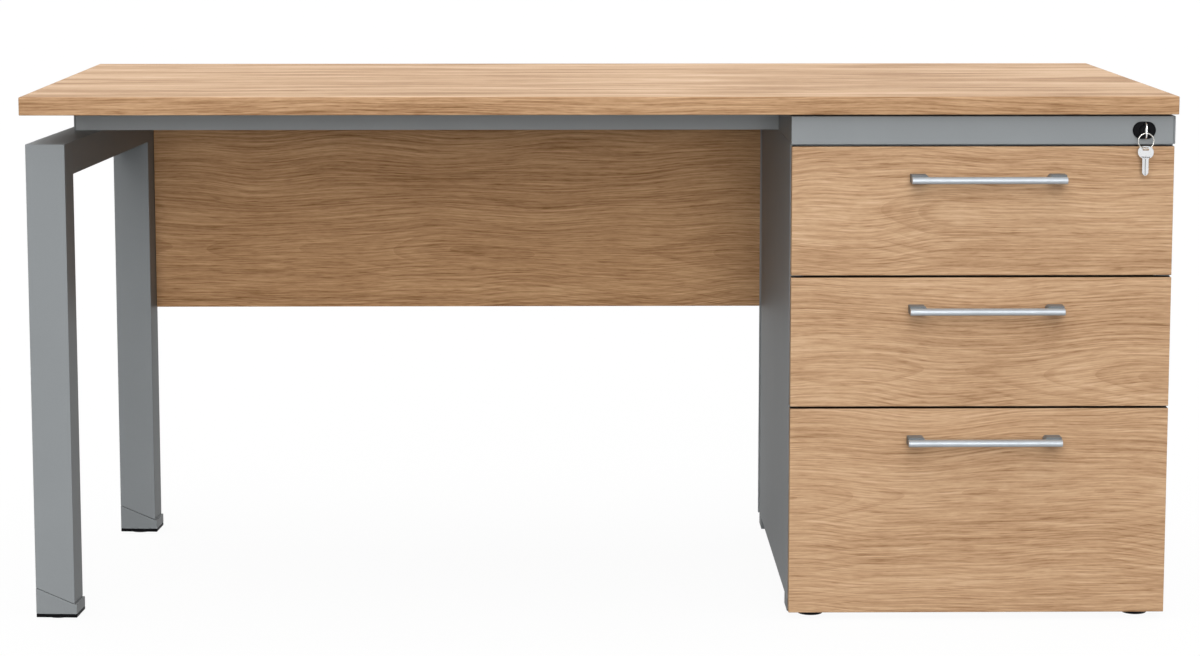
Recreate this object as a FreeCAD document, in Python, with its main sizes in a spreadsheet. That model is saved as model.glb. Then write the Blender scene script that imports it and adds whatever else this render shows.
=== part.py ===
import FreeCAD, Part
import os
import re
import Sketcher

# Pedestal desk: worktop on two steel beams, carried by a leg frame on the left and a drawer pedestal
# on the right. Millimetres, +Z up, front towards -Y, origin on the floor under the middle of the desk.

# Driving dimensions. Setbacks are measured rearwards from the worktop's front edge.
SIZES = {
    # worktop
    "top_width": 1600,
    "top_depth": 800,
    "top_height": 740,
    "top_thickness": 25,
    "band_thickness": 2,
    # beams under the worktop
    "beam_height": 42,
    "beam_depth": 30,
    "tube_wall": 2,
    "front_beam_setback": 280,
    "beam_overhang": 13.8,
    "end_cap_thickness": 3,
    # leg frame, turned inwards towards its rear
    "leg_inset": 3,
    "leg_setback": 29,
    "leg_post": 55,
    "leg_rear_reach": 15,
    "leg_beam_height": 46,
    "leg_toe_in": 3.7,
    "shoe_outer_height": 37,
    "shoe_inner_height": 14,
    "shoe_collar": 3,
    "shoe_seam": 0.6,
    "base_plug_height": 5,
    "plug_boss": 30,
    "plug_boss_height": 25,
    "boss_play": 0.4,
    # levelling glides
    "glide_radius": 20,
    "glide_taper": 3,
    "glide_play": 0.3,
    "leg_glide_height": 3,
    "pedestal_glide_height": 8,
    "stem_radius": 4,
    "stem_play": 0.3,
    "leg_stem_cover": 5,
    "pedestal_stem_gap": 3,
    # modesty panel
    "modesty_thickness": 18,
    "modesty_bottom": 360,
    "modesty_drop": 11,
    "modesty_overlap": 70,
    "modesty_gap": 0.3,
    # pedestal carcass
    "pedestal_width": 533,
    "pedestal_inset": 2,
    "carcass_depth": 639,
    "carcass_clear": 25,
    "board": 18,
    "back_thickness": 8,
    "back_overhang": 2,
    "foot_block_width": 70,
    "foot_block_depth": 50,
    "cheek_thickness": 3,
    # drawer fronts and fascia
    "front_setback": 14,
    "front_thickness": 18,
    "front_gap": 3,
    "fascia_gap": 3,
    "front_reveal": 1,
    "front_height_1": 180,
    "front_height_2": 182,
    "front_clear": 10,
    "front_seat": 1,
    # drawer boxes
    "box_wall": 12,
    "box_bottom": 8,
    "box_rear_gap": 72,
    "box_rise": 12,
    "box_drop_1": 68,
    "box_drop_2": 50,
    "box_drop_3": 27,
    # drawer runners
    "runner_space": 13,
    "runner_rise": 40,
    "runner_half_height": 17.5,
    "runner_wall": 1.5,
    "runner_play": 0.3,
    "cabinet_channel_gap": 1.5,
    "drawer_channel_gap": 2.5,
    "cabinet_runner_bar_gap": 10,
    "cabinet_runner_rear_gap": 44,
    "drawer_runner_front_gap": 4,
    "drawer_runner_rear_gap": 6,
    # handles
    "handle_length": 215,
    "handle_height": 9.4,
    "handle_bar_depth": 11,
    "handle_round": 4.2,
    "handle_projection": 34,
    "handle_post_width": 24,
    "handle_post_rise": 2.6,
    "handle_post_drop": 4.5,
    "handle_post_bevel": 3,
    "handle_drop": 45,
    "handle_offset": 6,
    # lock
    "lock_inset": 44,
    "rosette_width": 32,
    "rosette_height": 24,
    "rosette_thickness": 4,
    "lock_plug_radius": 6,
    "lock_plug_proud": 0.5,
    "lock_play": 0.1,
    "housing_radius": 9,
    "housing_tail": 4,
    "housing_fit": 0.2,
    "housing_nut_radius": 12.5,
    "housing_nut_height": 4,
    "cam_gap": 4,
    "cam_throw": 10,
    "cam_start": 45,
    "cam_hub_radius": 7,
    "cam_end_radius": 3.5,
    "cam_thickness": 2.5,
    "cam_pin_radius": 2,
    "cam_pin_length": 5,
    # locking bar beside the right-hand runners
    "bar_thickness": 2.2,
    "bar_width": 12.2,
    "bar_play": 0.3,
    "bar_floor_gap": 17,
    "bar_head_gap": 1.5,
    "bar_head_half": 6,
    "bar_head_margin": 3.5,
    "bar_slot_play": 0.6,
    "lug_play": 0.3,
    "lug_gap": 1.3,
    "lug_height": 8,
    "catch_clear": 3,
    "catch_height": 17,
    "catch_side_gap": 2.5,
    "catch_gap": 4,
    "catch_thickness": 3,
    "catch_width": 10,
    "notch_play": 1,
    "guide_height": 20,
    "guide_wall": 1.7,
    "guide_foot": 3.7,
    "guide_drop": 12,
    # keys and ring
    "key_thickness": 1.8,
    "bow_width": 23,
    "bow_length": 17,
    "bow_corner": 8,
    "bow_slot_length": 9,
    "bow_slot_width": 4,
    "bow_slot_edge": 2,
    "blade_width": 9,
    "blade_end_gap": 10.5,
    "keyway_play": 0.2,
    "ring_radius": 10.8,
    "ring_wire": 0.8,
    "ring_play": 0.5,
    "spare_twist": 30,
    # bolts and screws
    "bolt_radius": 4,
    "bolt_play": 0.2,
    "bolt_head_radius": 6.5,
    "bolt_head_height": 5,
    "bolt_reach": 8,
    "bolt_inset": 60,
    "screw_radius": 2.5,
    "screw_head_radius": 4.5,
    "screw_head_height": 3,
    "screw_access_radius": 6,
    "screw_bite": 14,
    "screw_inset": 160,
    "screw_drop": 15,
}

# Places worked out from the sizes. Formulas may name sizes and other places.
PLACES = {
    "edge_y": "-(top_depth - handle_projection + front_setback) / 2",
    "under_top": "top_height - top_thickness",
    "frame_bottom": "under_top - beam_height",
    "top_left": "-top_width / 2",
    "front_y": "edge_y + front_setback",
    "front_back_y": "front_y + front_thickness",
    "carcass_y": "front_back_y + front_seat",
    "front_beam_y": "edge_y + front_beam_setback",
    "rear_beam_y": "carcass_y + carcass_depth - beam_depth",
    # leg frame, whose own corner is the outer front corner of the front post
    "leg_x": "top_left + leg_inset",
    "leg_y": "edge_y + leg_setback",
    "shoe_bottom": "leg_glide_height + base_plug_height",
    "leg_span": "(rear_beam_y + beam_depth + leg_rear_reach - leg_y) / cos(leg_toe_in)",
    "rear_post_y": "leg_span - leg_post",
    "leg_stem_length": "base_plug_height + plug_boss_height - leg_stem_cover",
    "leg_middle_x": "leg_x + leg_post / 2 * cos(leg_toe_in)",
    "leg_middle_y": "leg_y - leg_post / 2 * sin(leg_toe_in)",
    "bolt_front_along": "(front_beam_y + beam_depth / 2 - leg_middle_y) / cos(leg_toe_in)",
    "bolt_rear_along": "(rear_beam_y + beam_depth / 2 - leg_middle_y) / cos(leg_toe_in)",
    "bolt_front_x": "leg_middle_x + bolt_front_along * sin(leg_toe_in)",
    "bolt_rear_x": "leg_middle_x + bolt_rear_along * sin(leg_toe_in)",
    "front_beam_left": "bolt_front_x - beam_overhang",
    "rear_beam_left": "bolt_rear_x - beam_overhang",
    "modesty_left": "leg_x + leg_post * cos(leg_toe_in) + leg_span * sin(leg_toe_in) + modesty_gap",
    "modesty_y": "rear_beam_y + beam_depth",
    "modesty_top": "under_top - modesty_drop",
    "modesty_screw_z": "modesty_top - screw_drop",
    # pedestal
    "ped_right": "top_width / 2 - pedestal_inset",
    "ped_left": "ped_right - pedestal_width",
    "inner_left": "ped_left + board",
    "inner_right": "ped_right - board",
    "inner_width": "pedestal_width - 2 * board",
    "side_depth": "carcass_depth - back_thickness",
    "side_back_y": "carcass_y + side_depth",
    "pedestal_stem_length": "carcass_clear - pedestal_glide_height - pedestal_stem_gap",
    "carcass_height": "frame_bottom - carcass_clear",
    "ped_beam_end": "ped_right - cheek_thickness",
    "fascia_height": "beam_height - fascia_gap",
    # drawers
    "front_left": "ped_left + front_reveal",
    "front_width": "pedestal_width - 2 * front_reveal",
    "front_low_1": "frame_bottom - front_gap - front_height_1",
    "front_low_2": "front_low_1 - front_gap - front_height_2",
    "front_low_3": "front_clear",
    "front_height_3": "front_low_2 - front_gap - front_clear",
    "box_left": "inner_left + runner_space",
    "box_right": "inner_right - runner_space",
    "box_inner": "box_right - box_left - 2 * box_wall",
    "box_back_y": "side_back_y - box_rear_gap",
    "box_depth": "box_back_y - front_back_y",
    "box_low_1": "front_low_1 + box_rise",
    "box_low_2": "front_low_2 + box_rise",
    "box_low_3": "carcass_clear + board + box_rise",
    "box_height_1": "front_low_1 + front_height_1 - box_drop_1 - box_low_1",
    "box_height_2": "front_low_2 + front_height_2 - box_drop_2 - box_low_2",
    "box_height_3": "front_low_3 + front_height_3 - box_drop_3 - box_low_3",
    "runner_1": "box_low_1 + runner_rise",
    "runner_2": "box_low_2 + runner_rise",
    "runner_3": "box_low_3 + runner_rise",
    "cabinet_runner_y": "bar_back_y + cabinet_runner_bar_gap",
    "cabinet_runner_length": "side_back_y - cabinet_runner_rear_gap - cabinet_runner_y",
    "drawer_runner_y": "front_back_y + drawer_runner_front_gap",
    "drawer_runner_length": "box_back_y - drawer_runner_rear_gap - drawer_runner_y",
    "cabinet_channel": "runner_space - runner_wall - cabinet_channel_gap",
    "drawer_channel": "runner_space - runner_wall - drawer_channel_gap",
    "drawer_runner_half": "runner_half_height - runner_wall - runner_play",
    "handle_y": "front_y - handle_projection",
    "handle_left": "(ped_left + ped_right - handle_length) / 2 + handle_offset",
    # lock
    "lock_x": "ped_right - lock_inset",
    "lock_z": "frame_bottom + fascia_height / 2",
    "rosette_y": "front_y - rosette_thickness",
    "plug_y": "rosette_y - lock_plug_proud",
    "housing_length": "front_thickness + housing_nut_height + housing_tail",
    "cam_y": "front_y + housing_length + cam_gap",
    "lock_plug_length": "cam_y - plug_y",
    "blade_length": "lock_plug_length - blade_end_gap",
    "pin_side": "cam_throw * cos(cam_start)",
    "pin_drop": "cam_throw * sin(cam_start)",
    "bar_x": "inner_right - bar_play - bar_thickness",
    "head_y": "cam_y + cam_thickness + bar_head_gap",
    "bar_back_y": "head_y + bar_thickness",
    "bar_y": "bar_back_y - bar_width",
    "bar_foot": "carcass_clear + board + bar_floor_gap",
    "catch_reach": "bar_x - catch_side_gap - box_right",
    "lug_x": "box_right + runner_wall + lug_play",
    "lug_low": "drawer_runner_half + lug_gap",
    "catch_low": "lug_low + lug_height + catch_clear",
    "catch_top": "catch_low + catch_height",
    "head_z": "lock_z - pin_drop",
    "slot_left": "lock_x - cam_throw - cam_pin_radius - bar_slot_play",
    "slot_right": "lock_x - pin_side + cam_pin_radius + bar_slot_play",
    "catch_y": "bar_back_y + catch_gap",
    # keys and ring
    "bow_y": "plug_y - bow_length",
    "key_slot_y": "bow_y + bow_slot_edge + bow_slot_width / 2",
    "ring_top_z": "lock_z - bow_slot_length / 2 + ring_wire + ring_play",
    "ring_bottom_z": "ring_top_z - 2 * ring_radius",
}

DRAWERS = (1, 2, 3)
TOUCH = 0.01
UPRIGHT = FreeCAD.Rotation()
ALONG_Y = FreeCAD.Rotation(FreeCAD.Vector(1, 0, 0), -90)
WORD = re.compile(r"[a-z][a-z_0-9]*")

doc = FreeCAD.newDocument("PedestalDesk")
nodes = []


def formula(text, inside_places=False):
    """The text with the owning sheet's name before each size and place."""
    def owned(match):
        word = match.group()
        if word in SIZES:
            return "Sizes." + word
        if word in PLACES and not inside_places:
            return "Places." + word
        return word
    return WORD.sub(owned, text)


def fill_sheet(name, cells):
    sheet = doc.addObject("Spreadsheet::Sheet", name)
    for row, (alias, content) in enumerate(cells.items(), start=1):
        sheet.set(f"A{row}", alias)
        sheet.set(f"B{row}", content)
        sheet.setAlias(f"B{row}", alias)
    doc.recompute()
    return sheet


sizes = fill_sheet("Sizes", {alias: str(number) for alias, number in SIZES.items()})
fill_sheet("Places", {alias: "=" + formula(text, True) for alias, text in PLACES.items()})


def value(text):
    return float(sizes.evalExpression(formula(text)))


def bind(item, prop, text):
    item.setExpression(prop, formula(text))


def put(item, x, y, z, turn=UPRIGHT):
    item.Placement = FreeCAD.Placement(FreeCAD.Vector(), turn)
    for axis, text in zip("xyz", (x, y, z)):
        bind(item, "Placement.Base." + axis, text)
    return item


def put_in_leg_frame(item, along_x, along_y, z="0"):
    """Place an item by its distances inside the turned leg frame."""
    x = f"leg_x + ({along_x}) * cos(leg_toe_in) + ({along_y}) * sin(leg_toe_in)"
    y = f"leg_y - ({along_x}) * sin(leg_toe_in) + ({along_y}) * cos(leg_toe_in)"
    put(item, x, y, z, FreeCAD.Rotation(FreeCAD.Vector(0, 0, -1), 1))
    bind(item, "Placement.Rotation.Angle", "leg_toe_in")
    return item


def box(label, at, size, turn=UPRIGHT):
    item = doc.addObject("Part::Box", label)
    for prop, text in zip(("Length", "Width", "Height"), size):
        bind(item, prop, text)
    return put(item, *at, turn)


def rod(label, radius, length, at, turn=UPRIGHT):
    item = doc.addObject("Part::Cylinder", label)
    bind(item, "Radius", radius)
    bind(item, "Height", length)
    return put(item, *at, turn)


def group(label, items):
    item = doc.addObject("Part::Compound", label)
    item.Links = items
    return item


def fuse(label, items):
    item = doc.addObject("Part::MultiFuse", label)
    item.Shapes = items
    item.Refine = True
    return item


def cut(label, base, tools):
    item = doc.addObject("Part::Cut", label)
    item.Base = base
    item.Tool = tools[0] if len(tools) == 1 else group(label + "_tools", tools)
    return item


def node(item):
    nodes.append(item)
    return item


def new_body(label):
    return doc.addObject("PartDesign::Body", label)


def empty_sketch(body, name, plane):
    sketch = body.newObject("Sketcher::SketchObject", name)
    support = next(item for item in body.Origin.OriginFeatures if item.Role == plane)
    sketch.AttachmentSupport = (support, [""])
    sketch.MapMode = "FlatFace"
    return sketch


def hold(sketch, text, kind, *geometry):
    """Constrain a part of the sketch to a size."""
    index = sketch.addConstraint(Sketcher.Constraint(kind, *geometry, value(text)))
    sketch.setExpression(f"Constraints[{index}]", formula(text))


def outline_sketch(body, name, plane, outlines):
    """A sketch on an origin plane of the body, with every corner of its outlines held by two sizes."""
    sketch = empty_sketch(body, name, plane)
    for corners in outlines:
        points = [FreeCAD.Vector(value(x), value(y), 0) for x, y in corners]
        first = sketch.GeometryCount
        count = len(points)
        for i in range(count):
            sketch.addGeometry(Part.LineSegment(points[i], points[(i + 1) % count]), False)
        for i, (x, y) in enumerate(corners):
            sketch.addConstraint(Sketcher.Constraint("Coincident", first + i, 2, first + (i + 1) % count, 1))
            hold(sketch, x, "DistanceX", first + i, 1)
            hold(sketch, y, "DistanceY", first + i, 1)
    return sketch


def circle_sketch(body, name, plane, x, y, radius):
    sketch = empty_sketch(body, name, plane)
    centre = FreeCAD.Vector(value(x), value(y), 0)
    sketch.addGeometry(Part.Circle(centre, FreeCAD.Vector(0, 0, 1), value(radius)), False)
    hold(sketch, x, "DistanceX", 0, 3)
    hold(sketch, y, "DistanceY", 0, 3)
    hold(sketch, radius, "Radius", 0)
    return sketch


def feature(body, kind, sketch, length, backwards=False):
    item = body.newObject("PartDesign::" + kind, f"{sketch.Name}_{kind.lower()}")
    item.Profile = sketch
    bind(item, "Length", length)
    item.Reversed = backwards
    sketch.Visibility = False
    body.Tip = item
    return item


def rectangle(x0, y0, x1, y1):
    return [(x0, y0), (x1, y0), (x1, y1), (x0, y1)]


def round_edges(body, base, wanted, radius):
    """Round the edges of the base feature whose middle points pass the test."""
    doc.recompute()
    names = [f"Edge{i}" for i, edge in enumerate(base.Shape.Edges, start=1) if wanted(edge)]
    item = body.newObject("PartDesign::Fillet", body.Name + "_rounding")
    item.Base = (base, names)
    bind(item, "Radius", radius)
    body.Tip = item


def screw(label, at, turn, radius, head_radius, head_height, length):
    """Shank and head along the turned Z axis, with the head's seat at the given place."""
    shank = rod(label + "_shank", radius, length, at, turn)
    head = rod(label + "_head", head_radius, head_height, at, turn)
    side = turn.multVec(FreeCAD.Vector(0, 0, 1))
    for axis, text, share in zip("xyz", at, side):
        bind(head, "Placement.Base." + axis, f"({text}) - ({round(share)}) * {head_height}")
    return fuse(label, [shank, head])


# Places shared by the fasteners and their holes
BEAM_MIDDLES = {"front": "front_beam_y + beam_depth / 2", "rear": "rear_beam_y + beam_depth / 2"}
TOP_SCREW_COLUMNS = ["top_left + screw_inset", "(top_left + ped_left) / 2", "ped_left - screw_inset"]
PANEL_SCREW_COLUMNS = ["modesty_left + bolt_inset", "(modesty_left + ped_left) / 2", "ped_left - bolt_inset"]
PEDESTAL_BOLT_COLUMNS = ["ped_left + bolt_inset", "ped_right - bolt_inset"]
LEG_BOLT = {name: (f"bolt_{name}_x", middle) for name, middle in BEAM_MIDDLES.items()}
SCREW_HOLE = "screw_radius + bolt_play"
SCREW_SEAT = "under_top - tube_wall"
SCREW_WAY = {"hole": (SCREW_HOLE, SCREW_SEAT), "access": ("screw_access_radius", "frame_bottom")}
BOLT_HOLE = "bolt_radius + bolt_play"

# Worktop: a board with a thin band glued round its edge
board_core = box(
    "desktop_core",
    ("top_left + band_thickness", "edge_y + band_thickness", "under_top"),
    ("top_width - 2 * band_thickness", "top_depth - 2 * band_thickness", "top_thickness"),
)
node(cut("desktop", board_core, [
    rod(f"desktop_{name}_hole_{i}", SCREW_HOLE, "screw_bite", (x, y, "under_top"))
    for name, y in BEAM_MIDDLES.items()
    for i, x in enumerate(TOP_SCREW_COLUMNS)
]))
long_band = ("top_width", "band_thickness", "top_thickness")
short_band = ("band_thickness", "top_depth - 2 * band_thickness", "top_thickness")
node(group("desktop_edge_bands", [
    box("band_front", ("top_left", "edge_y", "under_top"), long_band),
    box("band_rear", ("top_left", "edge_y + top_depth - band_thickness", "under_top"), long_band),
    box("band_left", ("top_left", "edge_y + band_thickness", "under_top"), short_band),
    box("band_right", ("-top_left - band_thickness", "edge_y + band_thickness", "under_top"), short_band),
]))


# Beams: two steel tubes across the desk, screwed to the worktop and bolted to what carries them
def beam(name, middle):
    y = f"{name}_beam_y"
    start = f"({name}_beam_left + end_cap_thickness)"
    length = f"ped_beam_end - {start}"
    outer = box(f"{name}_tube_outer", (start, y, "frame_bottom"), (length, "beam_depth", "beam_height"))
    inner = box(
        f"{name}_tube_inner", (start, f"{y} + tube_wall", "frame_bottom + tube_wall"),
        (length, "beam_depth - 2 * tube_wall", "beam_height - 2 * tube_wall"),
    )
    holes = [
        rod(f"{name}_screw_{kind}_{i}", radius, "tube_wall", (x, middle, z))
        for kind, (radius, z) in SCREW_WAY.items()
        for i, x in enumerate(TOP_SCREW_COLUMNS)
    ]
    bolt_places = [LEG_BOLT[name]] + [(x, middle) for x in PEDESTAL_BOLT_COLUMNS]
    holes += [
        rod(f"{name}_bolt_hole_{i}", BOLT_HOLE, "tube_wall", (x, hole_y, "frame_bottom"))
        for i, (x, hole_y) in enumerate(bolt_places)
    ]
    if name == "rear":
        holes += [
            rod(f"rear_panel_hole_{i}", SCREW_HOLE, "tube_wall",
                (x, "modesty_y - tube_wall", "modesty_screw_z"), ALONG_Y)
            for i, x in enumerate(PANEL_SCREW_COLUMNS)
        ]
    return cut(f"{name}_beam", outer, [inner] + holes)


for name, middle in BEAM_MIDDLES.items():
    node(beam(name, middle))
node(group("beam_end_caps", [
    box(f"{name}_beam_cap", (f"{name}_beam_left", f"{name}_beam_y", "frame_bottom"),
        ("end_cap_thickness", "beam_depth", "beam_height"))
    for name in BEAM_MIDDLES
]))

# Leg frame: two posts and a beam between them, on slanted shoes with a plastic plug and a screw glide
POSTS = {"front": "0", "rear": "rear_post_y"}
BOSS_LOW = "(leg_post - plug_boss) / 2"
BOSS_HIGH = "(leg_post + plug_boss) / 2"


def post(label, along):
    body = new_body(label)
    side = outline_sketch(body, label + "_side", "XZ_Plane", [[
        ("0", "shoe_bottom + shoe_outer_height + shoe_seam"),
        ("leg_post", "shoe_bottom + shoe_inner_height + shoe_seam"),
        ("leg_post", "frame_bottom"),
        ("0", "frame_bottom"),
    ]])
    feature(body, "Pad", side, "leg_post", True)
    bore = outline_sketch(body, label + "_bore", "XY_Plane", [
        rectangle("tube_wall", "tube_wall", "leg_post - tube_wall", "leg_post - tube_wall"),
    ])
    feature(body, "Pocket", bore, "frame_bottom - tube_wall", True)
    return put_in_leg_frame(body, "0", along)


def leg_beam(label):
    body = new_body(label)
    low = "frame_bottom - leg_beam_height"
    section = outline_sketch(body, label + "_section", "XZ_Plane", [
        rectangle("0", low, "leg_post", "frame_bottom"),
        rectangle("tube_wall", low + " + tube_wall", "leg_post - tube_wall", "frame_bottom - tube_wall"),
    ])
    feature(body, "Pad", section, "leg_span - 2 * leg_post", True)
    return put_in_leg_frame(body, "0", "leg_post")


def shoe(label, along):
    body = new_body(label)
    inner_top = "shoe_bottom + shoe_inner_height"
    side = outline_sketch(body, label + "_side", "XZ_Plane", [[
        ("0", "shoe_bottom"),
        ("leg_post + shoe_collar", "shoe_bottom"),
        ("leg_post + shoe_collar", inner_top),
        ("leg_post", inner_top),
        ("0", "shoe_bottom + shoe_outer_height"),
    ]])
    feature(body, "Pad", side, "leg_post", True)
    low = BOSS_LOW + " - boss_play"
    high = BOSS_HIGH + " + boss_play"
    bore = outline_sketch(body, label + "_bore", "XY_Plane", [rectangle(low, low, high, high)])
    feature(body, "Pocket", bore, "shoe_bottom + shoe_outer_height", True)
    return put_in_leg_frame(body, "0", along)


def base_plug(label, along):
    body = new_body(label)
    flange = outline_sketch(body, label + "_flange", "XY_Plane", [
        rectangle("0", "0", "leg_post + shoe_collar", "leg_post"),
    ])
    feature(body, "Pad", flange, "base_plug_height")
    boss = outline_sketch(body, label + "_boss", "XY_Plane", [
        rectangle(BOSS_LOW, BOSS_LOW, BOSS_HIGH, BOSS_HIGH),
    ])
    feature(body, "Pad", boss, "base_plug_height + plug_boss_height")
    middle = "leg_post / 2"
    bore = circle_sketch(body, label + "_bore", "XY_Plane", middle, middle, "stem_radius + stem_play")
    feature(body, "Pocket", bore, "base_plug_height + plug_boss_height", True)
    return put_in_leg_frame(body, "0", along, "leg_glide_height")


def leg_bolt_hole(name):
    x, y = LEG_BOLT[name]
    return rod(f"leg_{name}_bolt_hole", BOLT_HOLE, "tube_wall", (x, y, "frame_bottom - tube_wall"))


node(post("leg_front_post", POSTS["front"]))
node(cut("leg_rear_post", post("rear_post_tube", POSTS["rear"]), [leg_bolt_hole("rear")]))
node(cut("leg_top_beam", leg_beam("leg_beam_tube"), [leg_bolt_hole("front")]))
for name, along in POSTS.items():
    node(shoe(f"{name}_shoe", along))
node(group("leg_base_plugs", [base_plug(f"{name}_base_plug", along) for name, along in POSTS.items()]))

# Modesty panel: hangs on the rear beam, from the rear post to behind the pedestal
modesty_board = box(
    "modesty_board", ("modesty_left", "modesty_y", "modesty_bottom"),
    ("ped_left + modesty_overlap - modesty_left", "modesty_thickness", "modesty_top - modesty_bottom"),
)
node(cut("modesty_panel", modesty_board, [
    rod(f"modesty_hole_{i}", SCREW_HOLE, "modesty_thickness", (x, "modesty_y", "modesty_screw_z"), ALONG_Y)
    for i, x in enumerate(PANEL_SCREW_COLUMNS)
]))

# Pedestal carcass: two sides, a back that covers their rear edges, a bottom and a top
side_size = ("board", "side_depth", "carcass_height")
node(box("pedestal_left_side", ("ped_left", "carcass_y", "carcass_clear"), side_size))
node(box("pedestal_right_side", ("inner_right", "carcass_y", "carcass_clear"), side_size))
node(box(
    "pedestal_back", ("ped_left - back_overhang", "side_back_y", "carcass_clear"),
    ("pedestal_width + 2 * back_overhang", "back_thickness", "carcass_height"),
))
shelf_size = ("inner_width", "side_depth", "board")
node(box("pedestal_bottom", ("inner_left", "carcass_y", "carcass_clear"), shelf_size))
top_board = box("top_board", ("inner_left", "carcass_y", "frame_bottom - board"), shelf_size)
bar_notch = box(
    "bar_notch", ("bar_x - notch_play", "bar_y - notch_play", "frame_bottom - board"),
    ("inner_right - bar_x + notch_play", "bar_width + 2 * notch_play", "board"),
)
node(cut("pedestal_top", top_board, [bar_notch] + [
    rod(f"pedestal_{name}_hole_{i}", BOLT_HOLE, "board", (x, y, "frame_bottom - board"))
    for name, y in BEAM_MIDDLES.items()
    for i, x in enumerate(PEDESTAL_BOLT_COLUMNS)
]))

# Foot blocks under the pedestal's corners, drilled for the glide stems
PEDESTAL_FEET = {
    f"{depth}_{side}": (x, y)
    for depth, y in (("front", "carcass_y"), ("rear", "side_back_y - foot_block_depth"))
    for side, x in (("left", "ped_left"), ("right", "ped_right - foot_block_width"))
}


def foot_block(name, x, y):
    block = box(f"foot_{name}", (x, y, "pedestal_glide_height"),
                ("foot_block_width", "foot_block_depth", "carcass_clear - pedestal_glide_height"))
    hole = rod(f"foot_{name}_hole", "stem_radius + stem_play", "pedestal_stem_length + stem_play",
               (f"{x} + foot_block_width / 2", f"{y} + foot_block_depth / 2", "pedestal_glide_height"))
    return cut(f"foot_block_{name}", block, [hole])


node(group("pedestal_foot_blocks", [foot_block(name, x, y) for name, (x, y) in PEDESTAL_FEET.items()]))


# Levelling glides: a tapered pad on a threaded stem, level with the floor
def glide(label, x, y, height, stem_length):
    half = f"({height} - glide_play) / 2"
    cone = doc.addObject("Part::Cone", label + "_taper")
    bind(cone, "Radius1", "glide_radius - glide_taper")
    bind(cone, "Radius2", "glide_radius")
    bind(cone, "Height", half)
    put(cone, x, y, "0")
    pad = rod(label + "_pad", "glide_radius", half, (x, y, half))
    stem = rod(label + "_stem", "stem_radius", f"{height} + {stem_length}", (x, y, "0"))
    return fuse(label, [cone, pad, stem])


for name, along in POSTS.items():
    x = f"leg_middle_x + ({along} + leg_post / 2) * sin(leg_toe_in)"
    y = f"leg_middle_y + ({along} + leg_post / 2) * cos(leg_toe_in)"
    node(glide(f"leg_{name}_glide", x, y, "leg_glide_height", "leg_stem_length"))
for name, (x, y) in PEDESTAL_FEET.items():
    node(glide(f"pedestal_{name}_glide", f"{x} + foot_block_width / 2", f"{y} + foot_block_depth / 2",
               "pedestal_glide_height", "pedestal_stem_length"))

# Fascia and cheeks: close the frame's height above the pedestal, with a gap under the worktop
fascia_board = box(
    "fascia_board", ("ped_left", "front_y", "frame_bottom"),
    ("pedestal_width - cheek_thickness", "front_thickness", "fascia_height"),
)
node(cut("fascia", fascia_board, [
    rod("lock_hole", "housing_radius + housing_fit", "front_thickness",
        ("lock_x", "front_y", "lock_z"), ALONG_Y),
]))
node(box(
    "fascia_left_cheek", ("ped_left", "front_back_y", "frame_bottom"),
    ("cheek_thickness", "front_beam_y - front_back_y", "fascia_height"),
))
node(box(
    "fascia_right_cheek", ("ped_beam_end", "front_y", "frame_bottom"),
    ("cheek_thickness", "modesty_y - front_y", "fascia_height"),
))


# Drawer runners: a channel on the carcass side with a narrower channel on the drawer inside it
def channel(label, x, y, z, length, depth, half_height, side):
    body = new_body(label)
    web = f"{side} * runner_wall"
    lip = f"{side} * {depth}"
    inside = f"({half_height} - runner_wall)"
    section = outline_sketch(body, label + "_section", "XZ_Plane", [[
        ("0", f"-{half_height}"), (lip, f"-{half_height}"), (lip, f"-{inside}"), (web, f"-{inside}"),
        (web, inside), (lip, inside), (lip, half_height), ("0", half_height),
    ]])
    feature(body, "Pad", section, length, True)
    return put(body, x, y, z)


def cabinet_runner(label, x, drawer, side):
    return channel(label, x, "cabinet_runner_y", f"runner_{drawer}", "cabinet_runner_length",
                   "cabinet_channel", "runner_half_height", side)


def drawer_runner(label, x, drawer, side):
    return channel(label, x, "drawer_runner_y", f"runner_{drawer}", "drawer_runner_length",
                   "drawer_channel", "drawer_runner_half", side)


def catch(drawer):
    """The tab on a right-hand drawer runner that the raised locking bar holds back."""
    low = f"runner_{drawer} + drawer_runner_half - runner_wall"
    web = box(f"catch_web_{drawer}", ("box_right", "catch_y", low),
              ("runner_wall", "catch_width", "catch_top - drawer_runner_half + runner_wall"))
    tab = box(f"catch_tab_{drawer}", ("box_right", "catch_y", f"runner_{drawer} + catch_low"),
              ("catch_reach", "catch_thickness", "catch_top - catch_low"))
    return [web, tab]


node(group("cabinet_runners", [
    cabinet_runner(f"cabinet_runner_{drawer}_{name}", x, drawer, side)
    for drawer in DRAWERS
    for name, x, side in (("left", "inner_left", 1), ("right", "inner_right", -1))
]))


# Drawers: an overlaid front with a bar handle, and a box on its runners
def handle_bar(label, drawer):
    body = new_body(label)
    section = outline_sketch(body, label + "_section", "YZ_Plane", [
        rectangle("0", "-handle_height / 2", "handle_bar_depth", "handle_height / 2"),
    ])
    pad = feature(body, "Pad", section, "handle_length")

    def front_arris(edge):
        return abs(edge.CenterOfMass.y) < TOUCH and edge.Length > value("handle_height")

    round_edges(body, pad, front_arris, "handle_round")
    return put(body, "handle_left", "handle_y", f"front_low_{drawer} + front_height_{drawer} - handle_drop")


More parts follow.
